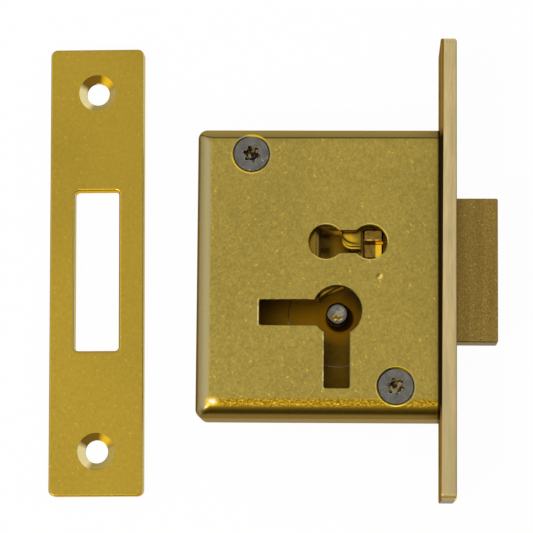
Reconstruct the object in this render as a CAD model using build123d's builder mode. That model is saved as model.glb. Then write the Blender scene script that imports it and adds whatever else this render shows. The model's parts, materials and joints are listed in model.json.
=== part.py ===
from build123d import *
import os

os.makedirs("parts", exist_ok=True)

# A cut cupboard lock with its striking plate. Lengths are in millimetres.
# It lies on its back: z = 0 is the back of the case, +Z points at the key side,
# +X is the way the bolt is thrown. The origin is on the key's axis.

# Case
case_height = 64.0
case_width = 53.5
case_depth = 16.6
key_to_forend = 22.5
key_to_top = 40.4
cap_wall = 1.8
cap_edge_r = 3.5
cap_corner_r = 2.0
cap_inner_edge_r = 0.7
cap_lip = 0.15
back_thickness = 2.0
back_clearance = 0.1
back_corner_r = 0.3

case_left = key_to_forend - case_width
case_top = key_to_top
case_bottom = key_to_top - case_height
cap_inside_z = case_depth - cap_wall
inside_left = case_left + cap_wall
inside_top = case_top - cap_wall
inside_bottom = case_bottom + cap_wall

# Keyhole: a round hole for the key's shank and two slots at a right angle for its bit
keyhole_r = 5.45
keyhole_slot = 5.6
keyhole_side_reach = 17.0
keyhole_to_bottom = 6.6
keyhole_side_drop = 0.45
keyhole_corner_r = 0.5
bit_sweep_r = 11.1
bit_recess = 0.4
bit_recess_lip = 0.12

# Window over the stump: two round lobes and a waist
window_rear_over = 0.85
window_pitch_over = 0.45
window_y = 15.15
window_lobe_r = 3.77
window_waist = 4.86
window_blend_r = 1.5

# Punch mark beside the keyhole
mark_x = 9.25
mark_y = 7.5
mark_r = 0.9
mark_depth = 0.12

# Forend and striking plate
plate_length = 101.2
plate_width = 21.2
plate_corner_r = 1.5
plate_edge_r = 0.4
forend_edge_r = 0.6
forend_back_edge_r = 0.3
forend_thickness = 3.5
striker_thickness = 3.0
wood_screw_from_end = 10.0
wood_screw_r = 2.6
wood_screw_head_r = 4.15
countersink_angle = 90.0
lug_low_length = 13.4
lug_high_length = 11.8
lug_cap_gap = 1.8
lug_end_gap = 1.6
rivet_r = 1.6
rivet_head_r = 2.4
rivet_head = 0.7
rivet_dome_share = 0.6
rivet_flush_r = 2.3
rivet_end_inset = 2.9
rivet_pitch = 6.5
rivet_z = 8.6

back_left = inside_left + back_clearance
back_bottom = inside_bottom + back_clearance
back_top = inside_top - back_clearance
wood_screw_pitch = plate_length - wood_screw_from_end * 2
lug_height = cap_inside_z - lug_cap_gap

# Bolt: its head fills the forend's height between the two lugs, close under the cap
bolt_thickness = 8.1
bolt_throw = 9.2
bolt_edge_r = 0.4
bolt_clearance = 0.15
bolt_stop_gap = 0.1
bolt_root = 2.0
bolt_upper_root = 5.9
tail_thickness = 2.8
tail_bottom_y = 11.5
tail_top_y = 24.5
tail_end_gap = 0.5
fork_clearance = 0.12
fork_end_gap = 0.3
talon_width = 6.5
horn_width = 3.0
horn_tip_y = 8.0

forend_outer = key_to_forend + forend_thickness
bolt_z = cap_inside_z - bolt_clearance - bolt_thickness
bolt_bottom_y = back_bottom + lug_low_length + lug_end_gap
bolt_top_y = back_top - lug_high_length - lug_end_gap
bolt_height = bolt_top_y - bolt_bottom_y
bolt_y = (bolt_bottom_y + bolt_top_y) / 2
bolt_mid_z = bolt_z + bolt_thickness / 2
bolt_nose_x = forend_outer + bolt_throw
bolt_shoulder_x = key_to_forend - bolt_stop_gap
tail_z = back_thickness + bolt_clearance
tail_left = inside_left + tail_end_gap + bolt_throw
tail_over_z = tail_z + tail_thickness

# Stump: a square head over a narrower shank that the levers' gates let past
stump_x = 7.8
stump_head_x = 4.4
stump_head_bottom_y = 11.6
stump_head_top_y = 18.2
stump_head_height = 1.2
stump_corner_r = 0.8
stump_groove_y = 15.2
stump_groove = 1.0
stump_groove_depth = 0.5
stump_chamfer = 0.35
shank_left_x = 7.6
shank_x = 1.8
shank_bottom_y = 13.2
shank_top_y = 15.4
stump_rivet_r = 0.8
cap_running_gap = 0.25

stump_head_z = cap_inside_z - cap_running_gap - stump_head_height
stump_left = stump_x - stump_head_x / 2
window_x = stump_x - bolt_throw / 2 - window_rear_over
window_pitch = bolt_throw + window_pitch_over

# Levers, numbered from the back plate towards the cap
lever_count = 7
lever_gap = 0.17
lever_first_gap = 0.15
lever_stump_gap = 0.23
pivot_from_left = 12.5
pivot_y = 15.6
pivot_r = 2.0
pivot_clearance = 0.05
post_spigot_r = 1.5
lever_hub_r = 3.6
lever_crown_y = 22.6
lever_crown_x = -8.0
lever_front_gap = 0.54
gate_post = 4.1
gate_nose = 1.66
gate_clearance = 0.15
gate_round_r = 2.2
pocket_end_gap = 2.34
pocket_top_y = 18.1
pocket_corner_r = 0.4
pocket_floor_gap = 0.3
pocket_step_x = 0.15
pocket_step_y = 0.12
belly_front_y = 7.0
belly_mid_x = 0.7
belly_mid_y = 5.9
belly_low_x = -4.2
belly_low_y = 3.0
belly_rear_x = -8.5
belly_rear_y = 3.7
# Lift that brings each lever's gate in line with the stump, in order from the back plate
gate_lifts = [2.3, 1.8, 2.5, 2.0, 1.6, 2.4, 1.5]

pivot_x = case_left + pivot_from_left
lever_first_z = tail_over_z + lever_first_gap
stack_top_z = stump_head_z - lever_stump_gap
lever_pitch = (stack_top_z + lever_gap - lever_first_z) / lever_count
lever_thickness = lever_pitch - lever_gap
lever_front = stump_left - lever_front_gap
post_rear = lever_front - gate_post
nose_rear = lever_front - gate_nose
pocket_rear = shank_left_x - bolt_throw - pocket_end_gap

# Springs and their block
spring_leaf = 0.3
spring_side_gap = 0.1
spring_rest_x = -5.5
spring_rest_gap = 0.1
spring_tip = 1.2
spring_block_x = 9.0
spring_block_y = 28.6
spring_block_length = 4.5
spring_block_height = 5.0
spring_slot_depth = 3.0
spring_slot_gap = 0.02
spring_block_spigot_r = 1.2
collar_r = 3.4
collar_gap = 0.15

spring_width = lever_thickness - spring_side_gap * 2

# Pillars, cap screws and the drill pin
pillar_r = 3.2
pillar_spigot_r = 2.2
screw_r = 2.0
screw_head_r = 3.8
screw_sink = 0.25
screw_head_rim = 0.15
screw_seat_gap = 0.08
screw_hole_gap = 0.35
screw_foot = 2.8
thread_gap = 0.02
drive_r = 1.93
drive_core_r = 1.42
drive_lobe_r = 0.42
drive_depth = 2.0
drive_lip = 0.1
drive_lobes = 6
drive_turn = 45
rear_screw_from_left = 11.95
rear_screw_from_top = 5.76
front_screw_from_forend = 9.65
front_screw_from_bottom = 7.0
pin_r = 2.5
pin_tip_z = 9.6
pin_tip_round = 0.6
pin_spigot_r = 1.6

rear_screw = (case_left + rear_screw_from_left, case_top - rear_screw_from_top)
front_screw = (
    key_to_forend - front_screw_from_forend,
    case_bottom + front_screw_from_bottom,
)
screw_reach = cap_inside_z - back_thickness - screw_foot
head_top_z = case_depth - screw_sink
head_cone_z = head_top_z - screw_head_rim
cap_sink_r = screw_head_r + screw_sink + screw_head_rim + screw_seat_gap
pillar_sink_r = screw_head_r + screw_seat_gap - (head_cone_z - cap_inside_z)

# Where the striking plate lies beside the lock
striker_x = -54.3
striker_y = 10.2
striker_turn = 0.66
striker_slot_side_play = 0.925
striker_slot_end_play = 2.2
striker_slot_corner_r = 0.9
striker_slot_edge_r = 0.6

striker_slot_width = bolt_thickness + striker_slot_side_play * 2
striker_slot_height = bolt_height + striker_slot_end_play * 2
striker_frame = Plane(origin=(striker_x, striker_y, 0)).rotated((0, 0, striker_turn))

cut_over = 1.0


def box_sketch(x0, x1, y0, y1, mode=Mode.ADD):
    """A rectangle given by its sides."""
    with Locations(((x0 + x1) / 2, (y0 + y1) / 2)):
        Rectangle(x1 - x0, y1 - y0, mode=mode)


def write(name, part):
    part.label = name
    export_step(part, "parts/" + name + ".step")
    print(name, "volume", round(part.volume, 1))


# Cap: the hollow that is taken out of it, then the pressed shell itself
with BuildPart() as cap_hollow:
    with BuildSketch():
        box_sketch(inside_left, key_to_forend + cut_over, inside_bottom, inside_top)
    extrude(amount=cap_inside_z)
    roof = cap_hollow.faces().sort_by(Axis.Z)[-1].edges().sort_by(Axis.X)[:-1]
    fillet(roof, cap_inner_edge_r)

with BuildPart() as cap:
    with BuildSketch():
        box_sketch(case_left, key_to_forend, case_bottom, case_top)
    extrude(amount=case_depth)
    fillet(cap.edges().filter_by(Axis.Z).group_by(Axis.X)[0], cap_corner_r)
    fillet(cap.faces().sort_by(Axis.Z)[-1].edges().sort_by(Axis.X)[:-1], cap_edge_r)
    add(cap_hollow.part, mode=Mode.SUBTRACT)
    with BuildSketch(Plane.XY.offset(cap_inside_z - cut_over)):
        with BuildSketch(mode=Mode.PRIVATE) as side_slot:
            box_sketch(
                -keyhole_side_reach,
                0,
                -keyhole_side_drop - keyhole_slot / 2,
                -keyhole_side_drop + keyhole_slot / 2,
            )
            fillet(side_slot.vertices().group_by(Axis.X)[0], keyhole_corner_r)
        with BuildSketch(mode=Mode.PRIVATE) as lower_slot:
            box_sketch(-keyhole_slot / 2, keyhole_slot / 2, case_bottom + keyhole_to_bottom, 0)
            fillet(lower_slot.vertices().group_by(Axis.Y)[0], keyhole_corner_r)
        Circle(keyhole_r)
        add(side_slot.sketch)
        add(lower_slot.sketch)
    extrude(amount=cap_wall + cut_over * 2, mode=Mode.SUBTRACT)
    with BuildSketch(Plane.XY.offset(cap_inside_z - cut_over)) as window:
        with Locations((window_x, window_y)):
            with GridLocations(window_pitch, 0, 2, 1):
                Circle(window_lobe_r)
        with Locations((window_x, window_y)):
            Rectangle(window_pitch, window_waist)
        necks = window.vertices().sort_by_distance((window_x, window_y, 0))[:4]
        fillet(necks, window_blend_r)
    extrude(amount=cap_wall + cut_over * 2, mode=Mode.SUBTRACT)
    cap_face = cap.faces().filter_by(Axis.Z).sort_by(Axis.Z)[-1]
    lips = [edge for wire in cap_face.inner_wires() for edge in wire.edges()]
    chamfer(lips, cap_lip)
    with Locations(*[(x, y, case_depth) for x, y in (rear_screw, front_screw)]):
        CounterSinkHole(
            screw_r + screw_hole_gap,
            cap_sink_r,
            cap_wall + cut_over,
            countersink_angle,
        )
    with Locations((mark_x, mark_y, case_depth)):
        Cone(0, mark_r, mark_depth, align=(Align.CENTER, Align.CENTER, Align.MAX), mode=Mode.SUBTRACT)
write("cap", cap.part)

# Back plate, bent up at the forend into two lugs
lug_x = key_to_forend - back_thickness
low_rivets = [back_bottom + rivet_end_inset + rivet_pitch * k for k in range(2)]
high_rivets = [back_top - rivet_end_inset - rivet_pitch * k for k in range(2)]
rivet_places = low_rivets + high_rivets
stand_places = [rear_screw, front_screw]
block_place = (
    spring_block_x + spring_block_length / 2,
    spring_block_y + spring_block_height / 2,
)

with BuildPart() as back_plate:
    with BuildSketch() as back_outline:
        box_sketch(back_left, key_to_forend, back_bottom, back_top)
        fillet(back_outline.vertices().group_by(Axis.X)[0], back_corner_r)
    extrude(amount=back_thickness)
    with BuildSketch():
        box_sketch(lug_x, key_to_forend, back_bottom, back_bottom + lug_low_length)
        box_sketch(lug_x, key_to_forend, back_top - lug_high_length, back_top)
    extrude(amount=lug_height)
    with BuildSketch(Plane.XY.offset(back_thickness - bit_recess)):
        Circle(bit_sweep_r)
    extrude(amount=bit_recess + cut_over, mode=Mode.SUBTRACT)
    sweep_rim = back_plate.edges().filter_by(GeomType.CIRCLE).sort_by(SortBy.RADIUS)[-2:]
    chamfer(sweep_rim.sort_by(Axis.Z)[-1], bit_recess_lip)
    with Locations(*[(x, y, back_thickness) for x, y in stand_places]):
        Hole(pillar_spigot_r)
    with Locations((pivot_x, pivot_y, back_thickness)):
        Hole(post_spigot_r)
    with Locations((0, 0, back_thickness)):
        Hole(pin_spigot_r)
    with Locations((block_place[0], block_place[1], back_thickness)):
        Hole(spring_block_spigot_r)
    with BuildSketch(Plane.YZ.offset(lug_x - cut_over)):
        with Locations(*[(y, rivet_z) for y in rivet_places]):
            Circle(rivet_r)
    extrude(amount=back_thickness + cut_over * 2, mode=Mode.SUBTRACT)
write("back_plate", back_plate.part)


# Forend
with BuildPart() as forend:
    with BuildSketch(Plane.YZ.offset(key_to_forend)) as forend_outline:
        with Locations((bolt_y, plate_width / 2)):
            RectangleRounded(plate_length, plate_width, plate_corner_r)
    extrude(amount=forend_thickness)
    fillet(forend.faces().sort_by(Axis.X)[-1].edges(), forend_edge_r)
    fillet(forend.faces().sort_by(Axis.X)[0].edges(), forend_back_edge_r)
    with BuildSketch(Plane.YZ.offset(key_to_forend - cut_over)):
        with Locations((bolt_y, bolt_mid_z)):
            RectangleRounded(
                bolt_height + bolt_clearance * 2,
                bolt_thickness + bolt_clearance * 2,
                bolt_edge_r,
            )
    extrude(amount=forend_thickness + cut_over * 2, mode=Mode.SUBTRACT)
    with Locations(Plane.YZ.offset(forend_outer)):
        with Locations(
            (bolt_y - wood_screw_pitch / 2, plate_width / 2),
            (bolt_y + wood_screw_pitch / 2, plate_width / 2),
        ):
            CounterSinkHole(
                wood_screw_r,
                wood_screw_head_r,
                forend_thickness + cut_over,
                countersink_angle,
            )
        with Locations(*[(y, rivet_z) for y in rivet_places]):
            CounterSinkHole(
                rivet_r,
                rivet_flush_r,
                forend_thickness + cut_over,
                countersink_angle,
            )
write("forend", forend.part)

# Rivets: a flush countersunk end in the forend and a round head behind the lug
flush_depth = rivet_flush_r - rivet_r
with BuildPart() as forend_rivets:
    with BuildSketch(Plane.YZ.offset(lug_x)):
        with Locations(*[(y, rivet_z) for y in rivet_places]):
            Circle(rivet_r)
    extrude(amount=back_thickness + forend_thickness)
    with BuildSketch(Plane.YZ.offset(lug_x - rivet_head)) as rivet_heads:
        with Locations(*[(y, rivet_z) for y in rivet_places]):
            Circle(rivet_head_r)
    extrude(amount=rivet_head)
    rims = forend_rivets.faces().sort_by(Axis.X)[: len(rivet_places)].edges()
    fillet(rims, rivet_head * rivet_dome_share)
    with Locations(Plane.YZ.offset(forend_outer)):
        with Locations(*[(y, rivet_z, -flush_depth / 2) for y in rivet_places]):
            Cone(rivet_r, rivet_flush_r, flush_depth)
write("forend_rivets", forend_rivets.part)


# Pillars and cap screws
def pillar(place):
    with BuildPart() as post:
        with BuildSketch(Plane.XY.offset(back_thickness)):
            with Locations(place):
                Circle(pillar_r)
        extrude(amount=cap_inside_z - back_thickness)
        with BuildSketch():
            with Locations(place):
                Circle(pillar_spigot_r)
        extrude(amount=back_thickness)
        with Locations((place[0], place[1], cap_inside_z)):
            CounterSinkHole(
                screw_r + thread_gap,
                pillar_sink_r,
                screw_reach,
                countersink_angle,
            )
    return post.part


def cap_screw(place):
    cone_height = screw_head_r - screw_r
    tip_z = cap_inside_z - screw_reach + thread_gap
    with BuildPart() as screw:
        with BuildSketch(Plane.XY.offset(head_cone_z)):
            with Locations(place):
                Circle(screw_head_r)
        extrude(amount=screw_head_rim)
        with Locations((place[0], place[1], head_cone_z - cone_height / 2)):
            Cone(screw_r, screw_head_r, cone_height)
        with BuildSketch(Plane.XY.offset(tip_z)):
            with Locations(place):
                Circle(screw_r)
        extrude(amount=head_cone_z - cone_height - tip_z)
        with BuildSketch(Plane.XY.offset(head_top_z - drive_depth)):
            with Locations(place):
                Circle(drive_core_r)
                with PolarLocations(drive_r - drive_lobe_r, drive_lobes, drive_turn):
                    Circle(drive_lobe_r)
        extrude(amount=drive_depth + cut_over, mode=Mode.SUBTRACT)
        head_face = screw.faces().sort_by(Axis.Z)[-1]
        chamfer(head_face.inner_wires()[0].edges(), drive_lip)
    return screw.part


for name, place in (("rear", rear_screw), ("front", front_screw)):
    write("cap_pillar_" + name, pillar(place))
    write("cap_screw_" + name, cap_screw(place))

# Drill pin that the key's pipe slides over
pin_base_z = back_thickness - bit_recess
with BuildPart() as drill_pin:
    Cylinder(pin_spigot_r, pin_base_z, align=(Align.CENTER, Align.CENTER, Align.MIN))
    with BuildSketch(Plane.XY.offset(pin_base_z)):
        Circle(pin_r)
    extrude(amount=pin_tip_z - pin_base_z)
    fillet(drill_pin.faces().sort_by(Axis.Z)[-1].edges(), pin_tip_round)
write("drill_pin", drill_pin.part)

# Post that the levers turn on, and the collar that keeps them on it
with BuildPart() as lever_pivot_post:
    with BuildSketch():
        with Locations((pivot_x, pivot_y)):
            Circle(post_spigot_r)
    extrude(amount=back_thickness)
    with BuildSketch(Plane.XY.offset(back_thickness)):
        with Locations((pivot_x, pivot_y)):
            Circle(pivot_r)
    extrude(amount=cap_inside_z - back_thickness)
write("lever_pivot_post", lever_pivot_post.part)

with BuildPart() as lever_retaining_collar:
    with BuildSketch(Plane.XY.offset(stack_top_z + collar_gap)):
        with Locations((pivot_x, pivot_y)):
            Circle(collar_r)
            Circle(pivot_r, mode=Mode.SUBTRACT)
    extrude(amount=cap_inside_z - stack_top_z - collar_gap)
write("lever_retaining_collar", lever_retaining_collar.part)

# Bolt: head, shoulder that stops against the forend, and a forked tail
root_x = bolt_shoulder_x - bolt_root
upper_root_x = bolt_shoulder_x - bolt_upper_root
with BuildPart() as bolt:
    with BuildSketch(Plane.YZ.offset(root_x)):
        with Locations((bolt_y, bolt_mid_z)):
            Rectangle(bolt_height, bolt_thickness)
    extrude(amount=bolt_nose_x - root_x)
    fillet(bolt.edges().filter_by(Axis.X), bolt_edge_r)
    fillet(bolt.faces().sort_by(Axis.X)[-1].edges(), bolt_edge_r)
    with BuildSketch(Plane.XY.offset(tail_z)):
        box_sketch(root_x, bolt_shoulder_x, bolt_bottom_y, bolt_top_y)
        box_sketch(upper_root_x, bolt_shoulder_x, tail_bottom_y, bolt_top_y)
    extrude(amount=bolt_z + bolt_edge_r - tail_z)
    with BuildSketch(Plane.XY.offset(bolt_z)):
        box_sketch(upper_root_x, bolt_shoulder_x, tail_bottom_y, bolt_top_y - bolt_edge_r)
    extrude(amount=bolt_thickness)
    with BuildSketch(Plane.XY.offset(tail_z)):
        box_sketch(tail_left, bolt_shoulder_x, tail_bottom_y, tail_top_y)
        talon_x = bolt_throw / 2
        box_sketch(
            talon_x - talon_width / 2 - horn_width,
            talon_x + talon_width / 2 + horn_width,
            horn_tip_y,
            tail_bottom_y,
        )
        box_sketch(
            talon_x - talon_width / 2,
            talon_x + talon_width / 2,
            horn_tip_y,
            tail_bottom_y,
            mode=Mode.SUBTRACT,
        )
        fork_half = pivot_r + fork_clearance
        fork_end = pivot_x + bolt_throw + fork_half + fork_end_gap
        box_sketch(
            tail_left,
            fork_end,
            pivot_y - fork_half,
            pivot_y + fork_half,
            mode=Mode.SUBTRACT,
        )
    extrude(amount=tail_thickness)
    with Locations((shank_left_x + shank_x / 2, (shank_bottom_y + shank_top_y) / 2, tail_over_z)):
        Hole(stump_rivet_r, tail_thickness)
write("bolt", bolt.part)

with BuildPart() as bolt_stump:
    with BuildSketch(Plane.XY.offset(tail_z)):
        with Locations((shank_left_x + shank_x / 2, (shank_bottom_y + shank_top_y) / 2)):
            Circle(stump_rivet_r)
    extrude(amount=tail_thickness)
    with BuildSketch(Plane.XY.offset(tail_over_z)):
        box_sketch(shank_left_x, shank_left_x + shank_x, shank_bottom_y, shank_top_y)
    extrude(amount=stump_head_z - tail_over_z)
    with BuildSketch(Plane.XY.offset(stump_head_z)) as stump_head:
        box_sketch(stump_left, stump_left + stump_head_x, stump_head_bottom_y, stump_head_top_y)
        fillet(stump_head.vertices(), stump_corner_r)
    extrude(amount=stump_head_height)
    chamfer(bolt_stump.faces().sort_by(Axis.Z)[-1].edges(), stump_chamfer)
    with BuildSketch(Plane.YZ.offset(stump_left - cut_over)):
        with BuildLine():
            stump_top_z = stump_head_z + stump_head_height
            Polyline(
                (stump_groove_y - stump_groove / 2, stump_top_z),
                (stump_groove_y, stump_top_z - stump_groove_depth),
                (stump_groove_y + stump_groove / 2, stump_top_z),
                (stump_groove_y - stump_groove / 2, stump_top_z),
            )
        make_face()
    extrude(amount=stump_head_x + cut_over * 2, mode=Mode.SUBTRACT)
write("bolt_stump", bolt_stump.part)

# Lever gates. Over the bolt's travel each lever turns through an angle that brings
# its gate in line with the stump at mid-travel. The gate's front face, its nose and
# the pocket floor follow from how high the lever has risen when the shank gets there.
shank_right_x = shank_left_x + shank_x
mid_travel_x = shank_left_x + shank_x / 2 - bolt_throw / 2
entry_travel = shank_left_x - lever_front
exit_travel = shank_right_x - nose_rear


def lever_angle(lift):
    """The lever's whole angle in radians."""
    return 2 * lift / (mid_travel_x - pivot_x)


def rise(lift, travel, x):
    """How far the lever has risen at x when the bolt has gone this far."""
    return lever_angle(lift) * travel / bolt_throw * (x - pivot_x)


def lever(index):
    lift = gate_lifts[index]
    post_end_y = shank_top_y + gate_clearance - rise(lift, entry_travel, lever_front)
    nose_top_y = shank_bottom_y - gate_clearance - rise(lift, exit_travel, nose_rear)
    floor_rise = rise(lift, bolt_throw, shank_right_x - bolt_throw)
    floor_y = shank_bottom_y - pocket_floor_gap - floor_rise
    rear_x = pocket_rear - index * pocket_step_x
    top_y = pocket_top_y + index * pocket_step_y
    with BuildPart() as plate:
        with BuildSketch(Plane.XY.offset(lever_first_z + index * lever_pitch)):
            with Locations((pivot_x, pivot_y)):
                Circle(lever_hub_r)
            with BuildLine():
                Polyline(
                    (pivot_x, pivot_y + lever_hub_r),
                    (lever_crown_x, lever_crown_y),
                    (lever_front, lever_crown_y),
                    (lever_front, belly_front_y),
                )
                ThreePointArc(
                    (lever_front, belly_front_y),
                    (belly_mid_x, belly_mid_y),
                    (belly_low_x, belly_low_y),
                )
                Polyline(
                    (belly_low_x, belly_low_y),
                    (belly_rear_x, belly_rear_y),
                    (pivot_x, pivot_y - lever_hub_r),
                    (pivot_x, pivot_y + lever_hub_r),
                )
            make_face()
            with BuildSketch(mode=Mode.PRIVATE) as pocket:
                box_sketch(rear_x, post_rear, floor_y, top_y)
                box_sketch(post_rear, nose_rear, floor_y, post_end_y)
                box_sketch(nose_rear, lever_front + cut_over, nose_top_y, post_end_y)
                post_corner = pocket.vertices().sort_by_distance((post_rear, post_end_y, 0))[0]
                fillet(post_corner, gate_round_r)
                fillet(pocket.vertices().group_by(Axis.X)[0], pocket_corner_r)
            add(pocket.sketch, mode=Mode.SUBTRACT)
            with Locations((pivot_x, pivot_y)):
                Circle(pivot_r + pivot_clearance, mode=Mode.SUBTRACT)
        extrude(amount=lever_thickness)
    return plate.part


for index in range(lever_count):
    write(f"lever_{index + 1}", lever(index))

# Leaf springs: each is held in the block's slot and lies along its lever's top edge
leaf_tip_y = lever_crown_y + spring_rest_gap + spring_leaf / 2
leaf_slot_y = spring_block_y + spring_block_height / 2
leaf_end_x = spring_block_x + spring_slot_depth - spring_slot_gap
leaf_mid = ((spring_block_x + spring_rest_x) / 2, (leaf_slot_y + leaf_tip_y) / 2)


def leaf_spring(index):
    leaf_z = lever_first_z + index * lever_pitch + (lever_thickness - spring_width) / 2
    with BuildPart() as leaf:
        with BuildSketch(Plane.XY.offset(leaf_z)):
            with BuildLine() as path:
                held = Line((leaf_end_x, leaf_slot_y), (spring_block_x, leaf_slot_y))
                bend = TangentArc(held @ 1, leaf_mid, tangent=held % 1)
                back = TangentArc(bend @ 1, (spring_rest_x, leaf_tip_y), tangent=bend % 1)
                Line(back @ 1, (spring_rest_x - spring_tip, leaf_tip_y))
            trace(line_width=spring_leaf)
        extrude(amount=spring_width)
    return leaf.part


for index in range(lever_count):
    write(f"lever_spring_{index + 1}", leaf_spring(index))

with BuildPart() as spring_block:
    with BuildSketch(Plane.XY.offset(back_thickness)):
        box_sketch(
            spring_block_x,
            spring_block_x + spring_block_length,
            spring_block_y,
            spring_block_y + spring_block_height,
        )
        box_sketch(
            spring_block_x,
            spring_block_x + spring_slot_depth,
            leaf_slot_y - spring_leaf / 2 - spring_slot_gap,
            leaf_slot_y + spring_leaf / 2 + spring_slot_gap,
            mode=Mode.SUBTRACT,
        )
    extrude(amount=stack_top_z - back_thickness)
    with BuildSketch():
        with Locations(block_place):
            Circle(spring_block_spigot_r)
    extrude(amount=back_thickness)
write("spring_block", spring_block.part)

# Striking plate, lying flat beside the lock
with BuildPart() as striking_plate:
    with BuildSketch(striker_frame):
        RectangleRounded(plate_width, plate_length, plate_corner_r)
    extrude(amount=striker_thickness)
    fillet(striking_plate.faces().sort_by(Axis.Z)[-1].edges(), plate_edge_r)
    with BuildSketch(striker_frame):
        RectangleRounded(striker_slot_width, striker_slot_height, striker_slot_corner_r)
    extrude(amount=striker_thickness, mode=Mode.SUBTRACT)
    striker_face = striking_plate.faces().sort_by(Axis.Z)[-1]
    fillet(striker_face.inner_wires()[0].edges(), striker_slot_edge_r)
    with Locations(striker_frame.offset(striker_thickness)):
        with Locations((0, -wood_screw_pitch / 2), (0, wood_screw_pitch / 2)):
            CounterSinkHole(
                wood_screw_r,
                wood_screw_head_r,
                striker_thickness,
                countersink_angle,
            )
write("striking_plate", striking_plate.part)
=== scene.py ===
import json
import math

import bmesh
import bpy
from mathutils import Matrix, Vector


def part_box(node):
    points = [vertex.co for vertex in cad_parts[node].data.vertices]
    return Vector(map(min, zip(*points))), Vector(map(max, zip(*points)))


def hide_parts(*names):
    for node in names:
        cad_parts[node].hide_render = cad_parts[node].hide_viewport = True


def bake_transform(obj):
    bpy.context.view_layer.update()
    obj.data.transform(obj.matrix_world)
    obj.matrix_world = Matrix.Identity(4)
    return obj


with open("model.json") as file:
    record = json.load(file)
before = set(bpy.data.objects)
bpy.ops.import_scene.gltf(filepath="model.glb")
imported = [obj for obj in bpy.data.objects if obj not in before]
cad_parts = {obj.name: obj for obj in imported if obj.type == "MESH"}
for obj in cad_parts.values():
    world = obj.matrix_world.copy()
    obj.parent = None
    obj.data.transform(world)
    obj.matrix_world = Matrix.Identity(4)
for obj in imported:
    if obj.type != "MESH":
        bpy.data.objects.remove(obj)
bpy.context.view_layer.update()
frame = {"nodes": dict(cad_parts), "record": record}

# A cut brass cupboard lock and its striking plate, lying on a white table.
# Lengths are in metres and colours are linear, unless a name says otherwise.
MM = 0.001
record = frame["record"]
nodes = frame["nodes"]

AXES = {"X": (1.0, 0.0, 0.0), "Y": (0.0, 1.0, 0.0), "Z": (0.0, 0.0, 1.0)}
WHITE = (1.0, 1.0, 1.0)
BLACK = (0.0, 0.0, 0.0)


def grey(level):
    return (level, level, level)


def scaled(colour, level):
    return tuple(channel * level for channel in colour)


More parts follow.
